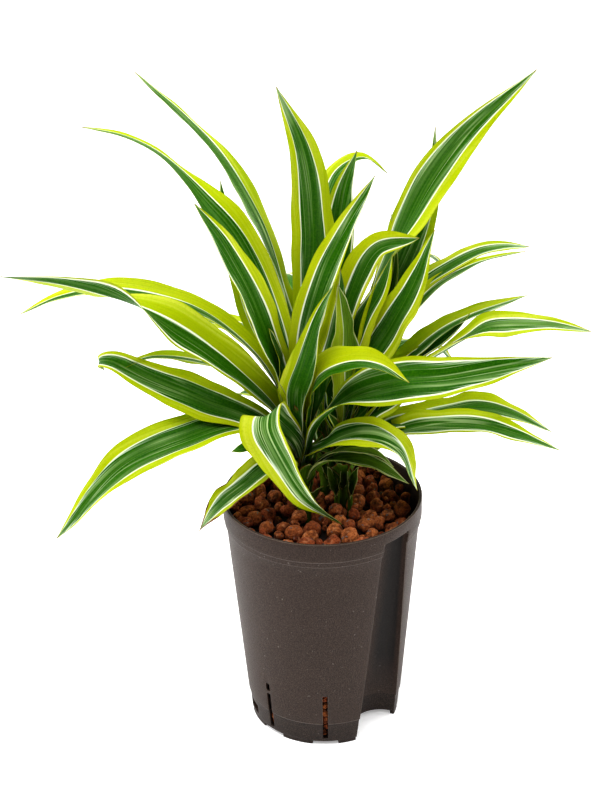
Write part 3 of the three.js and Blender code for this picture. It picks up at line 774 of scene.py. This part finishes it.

# A leaf leaves its stem at the height "at" and follows its path. Roll turns it about its midrib, and
# twist is added over the stretch "turning". "heading" says which way its breadth lies at the stem,
# where the path curls back. "dark" says between which shares of the half breadth the dark band runs,
# and "dark_tip" where it has got to at the tip. "streaks" is how strongly the painted sheen and the
# pale streaks show in it, and "young" and "dry" how olive or how withered the leaf is. "basal" counts
# the short leaves that clasp a stem. Heights, widths and paths are in millimetres, and angles in degrees.
shoots = {
    "shoot_left": dict(foot=(-13, 2), head=(-14, -2, 244), radius=6.5, basal=12, leaves=[
        dict(at=224, width=34, roll=-46, twist=98, turning=(0.5, 0.78), dark=(-0.80, 0.05), streaks=0.5,
             path=[(-37, -9, 274), (-85, -22, 329), (-132, -34, 364), (-178, -40, 383), (-220, -42, 390)]),
        dict(at=228, width=21, roll=-8, twist=-16, taper=2.4, dark=(-0.75, 0.0), streaks=0.3,
             path=[(-43, 5, 300), (-87, 14, 337), (-145, 25, 349), (-190, 33, 341), (-222, 38, 324)]),
        dict(at=212, width=30, roll=-50, dark=(-0.62, 0.56), streaks=0.5,
             path=[(-43, -11, 255), (-87, -22, 283), (-122, -28, 303), (-148, -30, 318), (-158, -22, 314),
                   (-156, -12, 302)]),
        dict(at=216, width=20, roll=-4, dark=(-0.45, 0.2), streaks=0.2,
             path=[(-43, 5, 268), (-63, 6, 288), (-88, 2, 300), (-107, -8, 309), (-125, -20, 315),
                   (-147, -34, 311)]),
        dict(at=206, width=33, roll=-20, twist=-10, dark=(-0.70, 0.52), streaks=0.9,
             path=[(-50, -12, 258), (-101, -42, 262), (-144, -55, 247), (-193, -62, 191)]),
        dict(at=208, width=38, heading=5, taper=1.15, dark=(-0.84, 0.38), streaks=1.9,
             path=[(-20, -14, 240), (-34, -26, 265), (-40, -37, 276), (-41, -46, 269), (-27, -50, 238),
                   (-11, -49, 212), (14, -44, 189)]),
        dict(at=190, width=25, roll=-10, dark=(-0.55, 0.50), streaks=0.8, dry=1.0,
             path=[(-33, -11, 222), (-57, -20, 211), (-74, -24, 198), (-93, -20, 170)]),
        dict(at=234, width=29, roll=-56, twist=-14, dark=(-0.86, 0.45), streaks=0.25,
             path=[(-29, -16, 302), (-45, -28, 359), (-64, -36, 409), (-84, -40, 441)]),
        dict(at=236, width=29, roll=-60, twist=68, turning=(0.5, 0.80), taper=1.4, dark=(-0.95, 0.35),
             streaks=0.3,
             path=[(-29, 6, 320), (-56, 15, 390), (-80, 20, 421), (-111, 26, 452), (-135, 28, 465),
                   (-166, 30, 472)]),
        dict(at=238, width=25, roll=70, twist=20, dark=(-0.42, 0.84), streaks=0.6,
             path=[(-14, -18, 311), (2, -24, 380), (20, -22, 419), (39, -16, 450)]),
        dict(at=232, width=30, roll=70, dark=(0.1, 1.0), streaks=0.3,
             path=[(-7, -6, 284), (6, -1, 329), (14, 3, 362), (15, 3, 372)]),
        dict(at=226, width=24, roll=78, heading=90, taper=1.0, dark=(-0.36, 0.93), streaks=0.3,
             path=[(-21, -21, 282), (-15, -29, 308), (-8, -34, 334), (0, -34, 358), (11, -30, 377)]),
        dict(at=216, width=26, roll=30, heading=70, dark=(0.3, 1.1), streaks=0.4,
             path=[(-6, -16, 276), (0, -24, 304), (18, -36, 320), (42, -46, 322), (62, -52, 309)]),
        dict(at=210, width=33, roll=-8, twist=62, turning=(0.25, 0.55), dark=(-0.76, 0.74), streaks=0.9,
             path=[(0, -20, 263), (22, -30, 288), (56, -38, 303), (91, -44, 309), (162, -50, 326)]),
        dict(at=222, width=27, roll=6, twist=19, turning=(0.2, 0.5), dark=(-1.2, -0.3),
             dark_tip=(0.1, 1.35), streaks=1.5,
             path=[(0, -22, 241), (28, -31, 257), (44, -32, 255), (58, -31, 243), (70, -27, 207)]),
        dict(at=196, width=14, roll=-15, twist=45, turning=(0.4, 0.7), dark=(-0.72, 0.76), streaks=0.3,
             young=0.6,
             path=[(-3, -14, 221), (13, -20, 231), (28, -23, 232), (43, -24, 226), (64, -24, 211)]),
        dict(at=200, width=11, roll=-10, twist=30, turning=(0.4, 0.7), dark=(-0.72, 0.76), streaks=0.2,
             young=0.8,
             path=[(0, -12, 226), (20, -18, 238), (40, -20, 235), (53, -20, 223)]),
        dict(at=234, width=22, roll=-60, dark=(-0.8, 0.7), streaks=0.2,
             path=[(-26, -12, 276), (-31, -20, 320), (-36, -24, 339)]),
        dict(at=202, width=22, roll=-20, dark=(-0.9, 0.9), streaks=0.1,
             path=[(-38, -24, 246), (-54, -36, 250), (-65, -44, 251)]),
    ]),
    "shoot_back": dict(foot=(4, 30), head=(4, 32, 268), radius=6.5, basal=18, leaves=[
        dict(at=250, width=28, roll=-6, taper=1.5, dark=(-0.95, 0.2), dark_tip=(-0.95, 0.6), streaks=0.8,
             path=[(-25, 34, 334), (-46, 44, 397), (-83, 48, 458), (-128, 52, 504)]),
        dict(at=262, width=33, roll=-112, dark=(-0.5, 0.5), streaks=0.35,
             path=[(-8, 20, 316), (-4, 18, 396), (-10, 18, 456), (-28, 18, 503)]),
        dict(at=258, width=28, roll=60, dark=(-0.66, 0.85), streaks=0.2,
             path=[(7, 30, 320), (13, 34, 382), (18, 38, 419), (28, 42, 447)]),
        dict(at=244, width=24, roll=6, dark=(0.0, 0.85), streaks=0.6,
             path=[(2, 52, 382), (12, 64, 422), (32, 72, 431), (51, 80, 415)]),
        dict(at=236, width=18, roll=-45, taper=2.2, dark=(-0.3, 0.95), streaks=0.1,
             path=[(-23, 36, 265), (-44, 44, 297), (-57, 50, 336), (-64, 54, 366), (-69, 58, 395),
                   (-71, 60, 419)]),
        dict(at=230, width=28, path=[(-12, 70, 290), (-24, 106, 315), (-36, 140, 306), (-48, 168, 272)]),
        dict(at=234, width=28, path=[(40, 64, 302), (62, 96, 328), (80, 128, 330), (98, 156, 308)]),
        dict(at=222, width=27, path=[(-34, 58, 266), (-64, 88, 286), (-90, 116, 278), (-112, 138, 248)]),
        dict(at=216, width=27, path=[(6, 72, 260), (8, 112, 280), (10, 150, 262), (12, 176, 220)]),
        dict(at=210, width=26, path=[(38, 62, 254), (66, 92, 268), (90, 116, 256), (110, 134, 226)]),
        dict(at=204, width=24, path=[(-28, 62, 236), (-54, 86, 232), (-79, 106, 208), (-94, 118, 170)]),
        dict(at=194, width=22, path=[(16, 62, 226), (26, 90, 230), (34, 112, 206)]),
    ]),
    "shoot_right": dict(foot=(17, 20), head=(15, 8, 244), radius=6.5, basal=12, leaves=[
        dict(at=236, width=33, roll=-14, twist=76, turning=(0.42, 0.7), dark=(-0.72, 0.42), streaks=0.7,
             path=[(34, 14, 319), (59, 24, 389), (97, 30, 452), (153, 38, 506)]),
        dict(at=232, width=34, roll=66, taper=0.9, dark=(-0.85, 0.5), streaks=0.5,
             path=[(33, 26, 297), (63, 38, 362), (81, 46, 411), (84, 52, 460)]),
        dict(at=226, width=29, roll=70, dark=(-0.5, 0.52), streaks=0.25,
             path=[(29, 8, 285), (53, 3, 330), (68, -2, 365), (81, -6, 405)]),
        dict(at=240, width=12, roll=10, taper=0.9, dark=(-0.5, 0.5), streaks=0.1, young=0.6,
             path=[(42, 24, 314), (54, 29, 348), (56, 33, 374), (52, 37, 401)]),
        dict(at=238, width=20, roll=66, dark=(-0.88, 0.3), streaks=0.15,
             path=[(19, 10, 284), (32, 8, 328), (45, 5, 356), (52, 3, 383)]),
        dict(at=234, width=23, roll=50, twist=20, taper=4.2, dark=(-0.25, 0.72), streaks=0.2,
             path=[(12, 12, 304), (23, 14, 352), (41, 12, 386), (71, 6, 394)]),
        dict(at=228, width=19, roll=10, taper=4.5, dark=(-0.5, 0.62), streaks=1.0,
             path=[(48, 24, 306), (73, 28, 346), (95, 34, 361), (117, 44, 367), (136, 52, 367),
                   (155, 58, 364)]),
        dict(at=222, width=18, roll=8, dark=(0.0, 0.9), streaks=0.4,
             path=[(47, 12, 302), (69, 14, 338), (87, 22, 353), (109, 28, 363), (131, 34, 367),
                   (150, 38, 369)]),
        dict(at=212, width=20, roll=12, taper=2.2, dark=(0.05, 0.88), streaks=0.5,
             path=[(40, 10, 266), (66, 16, 297), (88, 22, 315), (114, 30, 325), (140, 36, 331),
                   (153, 40, 333)]),
        dict(at=216, width=24, roll=-17, twist=50, turning=(0.57, 0.73), taper=2.6, dark=(-0.42, 0.5),
             streaks=0.7,
             path=[(47, 3, 267), (72, 3, 295), (93, 3, 309), (105, 2, 317), (120, 2, 326), (137, 4, 327),
                   (166, 8, 324), (197, 10, 317)]),
        dict(at=210, width=13, roll=40, dark=(-0.7, 0.6), streaks=0.1,
             path=[(47, 8, 271), (69, 12, 297), (88, 16, 308), (102, 20, 319), (110, 22, 328)]),
        dict(at=206, width=29, roll=10, taper=2.6, dark=(-0.42, 0.72), streaks=0.6,
             path=[(45, 2, 244), (80, 8, 250), (114, 13, 254), (140, 16, 249), (173, 18, 230)]),
        dict(at=200, width=28, roll=10, dark=(-0.45, 0.74), streaks=0.6,
             path=[(44, -1, 238), (79, -13, 255), (115, -20, 257), (144, -24, 251), (174, -25, 238)]),
        dict(at=208, width=25, path=[(42, 26, 250), (69, 44, 258), (91, 60, 250), (106, 70, 238)]),
        dict(at=196, width=24, path=[(46, 24, 224), (66, 36, 229), (82, 46, 220)]),
        dict(at=204, width=30, roll=30, dark=(-0.9, 0.6), streaks=0.2,
             path=[(22, 4, 240), (36, 6, 255), (54, 8, 265), (76, 10, 272)]),
        dict(at=236, width=28, roll=50, dark=(-0.9, 0.2), streaks=0.1, young=0.6,
             path=[(19, -4, 287), (19, -14, 330), (13, -14, 368)]),
        dict(at=216, width=24, roll=-60, dark=(-0.8, 0.8), streaks=0.1,
             path=[(9, 6, 256), (6, 10, 290), (6, 9, 318)]),
        dict(at=210, width=22, roll=-50, dark=(-0.8, 0.8), streaks=0.1,
             path=[(12, 0, 240), (5, -1, 268), (2, -1, 300)]),
        dict(at=196, width=22, dark=(-0.9, 0.9), streaks=0.05, young=0.5,
             path=[(8, 20, 210), (-3, 22, 222), (-4, 21, 236), (-2, 19, 252)]),
    ]),
    "sprout_front": dict(foot=(11, 8), head=(11, 8, 186), radius=3, leaves=[
        dict(at=181, width=11, roll=-70, dark=(-0.8, 0.8), streaks=0.2, young=0.8,
             path=[(8, 5, 194), (4, 2, 212)]),
        dict(at=182, width=10, roll=70, dark=(-0.8, 0.8), streaks=0.2, young=0.8,
             path=[(13, 5, 194), (14, 2, 208)]),
    ]),
    "sprout_side": dict(foot=(21, 5), head=(21, 5, 186), radius=3, leaves=[
        dict(at=181, width=11, roll=70, dark=(-0.8, 0.8), streaks=0.2, young=0.8,
             path=[(23, 2, 195), (27, -1, 213)]),
        dict(at=182, width=10, roll=-70, dark=(-0.8, 0.8), streaks=0.2, young=0.8,
             path=[(19, 2, 194), (19, 0, 209)]),
    ]),
}


def stem_point(stem, z):
    """The stem's middle at a height."""
    start = Vector((*stem["foot"], 0)) * mm + Vector((0, 0, stem_foot))
    end = Vector(stem["head"]) * mm
    return start.lerp(end, (z - stem_foot) / (end.z - stem_foot))


def curve_through(points, fineness=24):
    """Many points along a smooth curve through the given ones (a centripetal Catmull-Rom curve)."""
    chain = [2 * points[0] - points[1], *points, 2 * points[-1] - points[-2]]
    line = []
    for before, here, there, after in zip(chain, chain[1:], chain[2:], chain[3:]):
        first, span, last = (math.sqrt((b - a).length)
                             for a, b in ((before, here), (here, there), (there, after)))
        leaving = (here - before) / first - (there - before) / (first + span) + (there - here) / span
        arriving = (there - here) / span - (after - here) / (span + last) + (after - there) / last
        handles = here + leaving * span / 3, there - arriving * span / 3
        line += interpolate_bezier(here, *handles, there, fineness)[:-1]
    return line + [points[-1]]


def evenly_spaced(line, steps):
    """Points at equal distances along a line of many points."""
    lengths = [0.0]
    for here, there in zip(line, line[1:]):
        lengths.append(lengths[-1] + (there - here).length)
    spaced, at = [], 0
    for step in range(steps + 1):
        goal = lengths[-1] * step / steps
        while at < len(line) - 2 and lengths[at + 1] < goal:
            at += 1
        share = (goal - lengths[at]) / (lengths[at + 1] - lengths[at])
        spaced.append(line[at].lerp(line[at + 1], share))
    return spaced


def breadth(along, taper):
    """Half the breadth of a blade, as a share of its widest: a narrow sheath, then a long taper."""
    sheath = sheath_share + (1 - sheath_share) * smooth(0, widest_at, along)
    past = max(0.0, along - widest_at) / (1 - widest_at)
    return max(0.02, sheath * (1 - past ** taper))


def add_leaf(bm, layers, stem, leaf, number):
    """Adds one closed blade to the shoot, with the attributes that its stripes are drawn from."""
    width = leaf["width"]
    spine = evenly_spaced(
        curve_through([stem_point(stem, leaf["at"] * mm)] + [Vector(p) * mm for p in leaf["path"]]),
        leaf_steps,
    )
    if "heading" in leaf:
        reach = on_heading(leaf["heading"], 1, 0)
    else:
        reach = spine[-1] - spine[0]
    side = Vector((reach.y, -reach.x, 0)).normalized()
    dark = Vector(leaf.get("dark", (-0.55, 0.55)))
    dark_tip = Vector(leaf.get("dark_tip", dark))
    shares = [column / half_columns for column in range(-half_columns, half_columns + 1)]

    def drift(place, pace, kind):
        """A gentle wander between -1 and 1 along the leaf, of its own for each leaf and kind."""
        return noise.noise(Vector((place * pace, number * 3.7, kind * 5.3)))

    slack = min(1, width / full_wave_width)
    above_rows, below_rows = [], []
    for step, centre in enumerate(spine):
        along = step / leaf_steps
        tangent = (spine[min(step + 1, leaf_steps)] - spine[max(step - 1, 0)]).normalized()
        side = (side - tangent * side.dot(tangent)).normalized()
        twisted = leaf.get("twist", 0) * smooth(*leaf.get("turning", (0.1, 0.9)), along)
        across = Quaternion(tangent, math.radians(leaf.get("roll", 0) + twisted)) @ side
        up = across.cross(tangent)
        fold = math.radians(open_fold + sheath_fold * (1 - along) ** 3)
        half = width * mm / 2 * breadth(along, leaf.get("taper", usual_taper))
        wave = edge_wave * slack * math.sqrt(max(0.0, math.sin(math.pi * along)))
        centre = centre + up * drift(along, 5, 1) * spine_kink * slack * math.sin(math.pi * along)
        dark_low, dark_high = dark.lerp(dark_tip, along)
        dark_middle = (dark_low + dark_high) / 2 + band_wander * drift(along, 4, 2)
        dark_half = (dark_high - dark_low) / 2 + band_swell * drift(along, 5, 3)
        above, below = [], []
        for share in shares:
            kind = 4 if share < 0 else 5
            ripple = wave * math.sin(math.tau * waves_per_leaf * along + share + width) * share ** 2
            ripple += wave * slack * margin_curl * drift(along, 13, kind) * abs(share) ** 3
            crease = (math.sqrt(share ** 2 + 0.01) - 0.1) / (math.sqrt(1.01) - 0.1)
            uneven = 1 + edge_drift * drift(along, 9, kind + 2) * abs(share)
            point = centre + across * share * half * uneven * math.cos(fold)
            point += up * (half * math.sin(fold) * crease + ripple)
            thickness = rib_thickness + (edge_thickness - rib_thickness) * abs(share) ** 0.5
            thickness *= 1 - tip_thinning * along
            for row, place in ((above, point), (below, point - up * thickness)):
                vert = bm.verts.new(place)
                row.append(vert)
                offset = share - dark_middle
                vert[layers["past_band"]] = (abs(offset) - dark_half) * half / mm
                vert[layers["from_edge"]] = (1 - abs(share)) * half / mm
                vert[layers["across"]] = share * half / mm
                vert[layers["along"]] = along
                vert[layers["leaf"]] = number
                vert[layers["streaks"]] = leaf.get("streaks", 0.5)
                vert[layers["dry"]] = leaf.get("dry", 0.0)
                vert[layers["young"]] = leaf.get("young", 0.0)
        above_rows.append(above)
        below_rows.append(below)
    columns = len(shares)
    for here, there, low_here, low_there in zip(above_rows, above_rows[1:], below_rows, below_rows[1:]):
        for column in range(columns - 1):
            bm.faces.new((here[column], here[column + 1], there[column + 1], there[column]))
            bm.faces.new((low_here[column], low_there[column], low_there[column + 1], low_here[column + 1]))
        bm.faces.new((here[0], there[0], low_there[0], low_here[0]))
        bm.faces.new((here[-1], low_here[-1], low_there[-1], there[-1]))
    bm.faces.new(above_rows[0] + below_rows[0][::-1])
    bm.faces.new(above_rows[-1] + below_rows[-1][::-1])


def basal_leaves(stem, count, seed):
    """Short dark leaves that clasp the stem one above another and stand nearly upright round it."""
    dice = random.Random(seed)
    leaves = []
    for turn in range(count):
        low = basal_bottom + turn * (stem["head"][2] - 20 - basal_bottom) / count
        heading = seed * 50 + turn * golden_angle
        tall = dice.uniform(34, 62)
        path = []
        for share, reach in ((0.35, 5), (0.7, 9), (1.0, dice.uniform(12, 20))):
            z = low + tall * share
            point = stem_point(stem, z * mm) / mm + on_heading(heading, reach, 0)
            path.append((point.x, point.y, z))
        leaves.append(dict(at=low, width=dice.uniform(11, 17), roll=dice.uniform(-15, 15), heading=heading,
                           dark=(-0.95, 0.95), streaks=0.05, dry=0.6, young=0.5, path=path))
    return leaves


stem_sides, stem_rings = 20, 24
stem_ring_depth = 0.06                # share of the radius


def add_stem(bm, layers, stem):
    """Adds the stem: a tapered bar with rings where old leaves sat."""
    sides, rings = stem_sides, stem_rings
    low, high = stem_foot, stem["head"][2] * mm
    rows = []
    for ring in range(rings + 1):
        z = low + (high - low) * ring / rings
        radius = stem["radius"] * mm * (1 - (1 - stem_taper) * ring / rings)
        radius *= 1 - stem_ring_depth * (1 - ring % 2)
        middle = stem_point(stem, z)
        row = [bm.verts.new(middle + on_heading(360 * side / sides, radius, 0)) for side in range(sides)]
        for vert in row:
            vert[layers["past_band"]] = -2.0
            vert[layers["from_edge"]] = 5.0
            vert[layers["streaks"]] = 0.1
            vert[layers["young"]] = 0.7
        rows.append(row)
    for here, there in zip(rows, rows[1:]):
        for side in range(sides):
            beside = (side + 1) % sides
            bm.faces.new((here[side], here[beside], there[beside], there[side]))
    bm.faces.new(rows[0])
    bm.faces.new(rows[-1])


def make_shoot(name, stem, first_number):
    """One shoot as one mesh. Its leaves are numbered on from those of the shoots before it."""
    bm = bmesh.new()
    layers = {key: bm.verts.layers.float.new(key) for key in leaf_readings}
    add_stem(bm, layers, stem)
    leaves = stem["leaves"] + basal_leaves(stem, stem.get("basal", 0), first_number)
    for number, leaf in enumerate(leaves):
        add_leaf(bm, layers, stem, leaf, first_number + number)
    bmesh.ops.recalc_face_normals(bm, faces=bm.faces)
    thing = new_object(name, bm)
    thing.data.shade_smooth()
    thing.data.set_sharp_from_angle(angle=math.radians(60))
    return thing


# Dracaena leaf: a waxy cuticle over parallel veins gives a satin gloss. Its broad sheen, which breaks
# into streaks along the blade, is a painted sheen in the colour. The stripes are worked out in
# millimetres from each blade's own attributes, so that the white lines stay about a millimetre wide
# however the blade tapers.
def striped_leaf():
    material, tree = new_material("striped dracaena leaf")
    read = {}
    for key in leaf_readings:
        read[key] = add_node(tree, "ShaderNodeAttribute", attribute_name=key).outputs["Fac"]
    across, along, streaks, young = read["across"], read["along"], read["streaks"], read["young"]
    past_band, from_edge = read["past_band"], read["from_edge"]
    on_blade = add_node(tree, "ShaderNodeCombineXYZ", {0: across, 1: along, 2: read["leaf"]})

    def drawn_out(per_millimetre, per_length, offset, detail=1.0):
        """Noise that is drawn out along the blade, of its own for each leaf."""
        stretch = (per_millimetre, per_length, 7.31)
        drawn = add_node(tree, "ShaderNodeVectorMath", {0: on_blade, 1: stretch}, operation="MULTIPLY")
        moved = add_node(tree, "ShaderNodeVectorMath", {0: drawn, 1: (0, 0, offset)}, operation="ADD")
        noise_node = add_node(tree, "ShaderNodeTexNoise", {"Vector": moved, "Scale": 1.0, "Detail": detail})
        return noise_node.outputs[0]

    veins = drawn_out(1.9, 2.5, 0.0, 3.0)                # half a millimetre from vein to vein
    bands = drawn_out(0.30, 1.3, 21.0, 2.0)
    lines = drawn_out(0.20, 1.1, 43.0)
    patches = drawn_out(0.04, 5.0, 67.0)
    fullness = drawn_out(0.0, 2.6, 89.0)
    place = add_node(tree, "ShaderNodeTexCoord").outputs["Object"]
    mottle = add_node(tree, "ShaderNodeTexNoise", {"Vector": place, "Scale": 0.7 / mm, "Detail": 3.0})
    own = add_node(tree, "ShaderNodeTexWhiteNoise", {"W": read["leaf"]}, noise_dimensions="1D")
    from_midrib = add_node(tree, "ShaderNodeMath", {0: across}, operation="ABSOLUTE")
    beside_line = add_node(tree, "ShaderNodeMath", {0: lines, 1: 0.5}, operation="SUBTRACT")
    off_line = add_node(tree, "ShaderNodeMath", {0: beside_line}, operation="ABSOLUTE")

    dark_band = coated(
        tree, colour("#174500"),
        ("#2c6200", (veins, 0.3, 0.7)),
        ("#47780a", (mottle, 0.4, 0.7, 0.0, 0.35)),
        # painted sheen in broad bands, single pale lines, fine streaks beside the white line, and the midrib
        ("#8bab66", (bands, 0.46, 0.70), (patches, 0.32, 0.65, 0.15, 0.8), streaks),
        ("#b4c98e", (off_line, 0.030, 0.008), (patches, 0.38, 0.62, 0.1, 0.8), streaks),
        ("#cfdcc0", (past_band, -2.2, -0.2), (veins, 0.50, 0.62), streaks),
        ("#5f8a30", (from_midrib, 0.7, 0.1, 0.0, 0.3)),
    )
    lime_margin = coated(
        tree, colour("#9aa900"),
        ("#b3bd0c", own),
        ("#869a00", (veins, 0.45, 0.75, 0.0, 0.55)),
        # painted sheen, in the same bands as on the dark green
        ("#c9cc48", (bands, 0.50, 0.72, 0.0, 0.6)),
        ("#8a9c04", (mottle, 0.5, 0.7, 0.0, 0.35)),
    )
    olive = coated(
        tree, colour("#34480c"),
        ("#70881e", (veins, 0.35, 0.65)),
        ("#b4b884", (from_edge, 0.9, 0.3)),
    )

    # The white line runs outside the dark band, at most a tenth of the half breadth wide.
    full_line = add_node(tree, "ShaderNodeMapRange", {0: fullness, 1: 0.35, 2: 0.65, 3: 0.2, 4: 1.4})
    half_breadth = add_node(tree, "ShaderNodeMath", {0: from_midrib, 1: from_edge}, operation="ADD")
    widest_line = add_node(tree, "ShaderNodeMath", {0: half_breadth, 1: 0.10}, operation="MULTIPLY")
    line_width = add_node(tree, "ShaderNodeMath", {0: full_line, 1: widest_line}, operation="MINIMUM")
    past_line = add_node(tree, "ShaderNodeMath", {0: past_band, 1: line_width}, operation="SUBTRACT")
    outside_band = coated(tree, colour("#e9eed2"), (lime_margin, (past_line, -0.2, 0.2)))

    # Withered margins are brown and dry, with a broken edge, and so is the last of every tip.
    withering = add_node(tree, "ShaderNodeMapRange", {0: patches, 1: 0.42, 2: 0.6, 3: 0.0, 4: 1.6})
    dry_reach = add_node(tree, "ShaderNodeMath", {0: read["dry"], 1: withering}, operation="MULTIPLY")
    dry = add_node(tree, "ShaderNodeMath", {0: from_edge, 1: dry_reach}, operation="LESS_THAN")
    striped = coated(
        tree, dark_band,
        (outside_band, (past_band, -0.15, 0.15)),
        ("#8b9414", (from_edge, 0.55, 0.15, 0.0, 0.8)),
        (olive, young),
        ("#6b4420", dry),
        ("#8a7434", (along, 0.985, 1.0, 0.0, 0.9)),
    )

    # Deep in the plant, where the blades leave the stems, painted shade darkens them, and young blades less.
    from_stem = add_node(tree, "ShaderNodeMapRange", {0: along, 1: 0.02, 2: 0.34, 3: 0.28, 4: 1.0})
    lit = add_node(tree, "ShaderNodeMath", {0: from_stem, 1: young}, operation="MAXIMUM")
    shade = add_node(tree, "ShaderNodeCombineColor", {0: lit, 1: lit, 2: lit})
    base = add_node(tree, "ShaderNodeMix", {
        0: 1.0, 6: striped, 7: shade,
    }, data_type="RGBA", blend_type="MULTIPLY")
    relief = add_node(tree, "ShaderNodeBump", {"Strength": 0.6, "Distance": 0.5 * mm, "Height": veins})
    pores = add_node(tree, "ShaderNodeBump", {
        "Strength": 0.25, "Distance": 0.3 * mm, "Height": mottle, "Normal": relief,
    })
    shader = add_node(tree, "ShaderNodeBsdfPrincipled", {
        "Base Color": base, "Normal": pores, "Roughness": 0.42, "IOR": 1.45, "Specular IOR Level": 0.07,
        "Subsurface Weight": 0.06, "Subsurface Radius": (0.3, 1.0, 0.1), "Subsurface Scale": 2 * mm,
    })
    add_node(tree, "ShaderNodeOutputMaterial", {"Surface": shader})
    return material


foliage = striped_leaf()
first_number = 1
for name, stem in shoots.items():
    age = "leafy_" if "basal" in stem else "young_"
    shoot = make_shoot(age + name, stem, first_number)
    first_number += len(stem["leaves"])
    shoot.data.materials.append(foliage)
    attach(shoot, "root")
    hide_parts(name)


# ---- Floor and light ----
# A plain white floor under soft studio light: a bright sweep behind and above, a large softbox over
# the plant, and one on each side that edges the leaves and the pot.

def make_floor():
    bm = bmesh.new()
    bmesh.ops.create_grid(bm, x_segments=1, y_segments=1, size=6.0)
    floor = new_object("floor", bm)
    material, tree = new_material("pale floor")
    shader = add_node(tree, "ShaderNodeBsdfPrincipled", {
        "Base Color": colour("#ffffff"), "Roughness": 0.9,
        "Emission Color": (1, 1, 1, 1), "Emission Strength": 0.3,
    })
    add_node(tree, "ShaderNodeOutputMaterial", {"Surface": shader})
    floor.data.materials.append(material)


# The sweep behind and above the plant is white, and the room behind the camera is darker.
def white_sweep():
    world = bpy.data.worlds.new("white sweep")
    world.use_nodes = True
    tree = world.node_tree
    tree.nodes.clear()
    towards = add_node(tree, "ShaderNodeTexCoord").outputs["Generated"]
    behind = add_node(tree, "ShaderNodeSeparateXYZ", {0: towards}).outputs["Y"]
    strength = add_node(tree, "ShaderNodeMapRange", {0: behind, 1: -0.8, 2: 0.6, 3: 0.10, 4: 0.8})
    sweep = add_node(tree, "ShaderNodeBackground", {"Color": (1, 1, 1, 1), "Strength": strength})
    add_node(tree, "ShaderNodeOutputWorld", {"Surface": sweep})
    bpy.context.scene.world = world


lit_middle = Vector((0, 0, 0.2))
softboxes = (                         # name, place, side in metres, power in watts
    ("softbox above", (-0.3, -0.4, 2.2), 1.6, 50),
    ("softbox left", (-1.8, 0.5, 0.9), 1.2, 22),
    ("softbox right", (1.8, 0.3, 0.9), 1.2, 22),
)


def add_softbox(name, place, size, power):
    light = bpy.data.lights.new(name, "AREA")
    light.shape = "SQUARE"
    light.size = size
    light.energy = power
    thing = bpy.data.objects.new(name, light)
    thing.location = place
    thing.rotation_euler = (lit_middle - Vector(place)).to_track_quat("-Z", "Y").to_euler()
    bpy.context.scene.collection.objects.link(thing)


make_floor()
white_sweep()
for softbox in softboxes:
    add_softbox(*softbox)
bpy.context.scene.view_settings.view_transform = "Standard"
bpy.context.scene.view_settings.look = "Medium High Contrast"
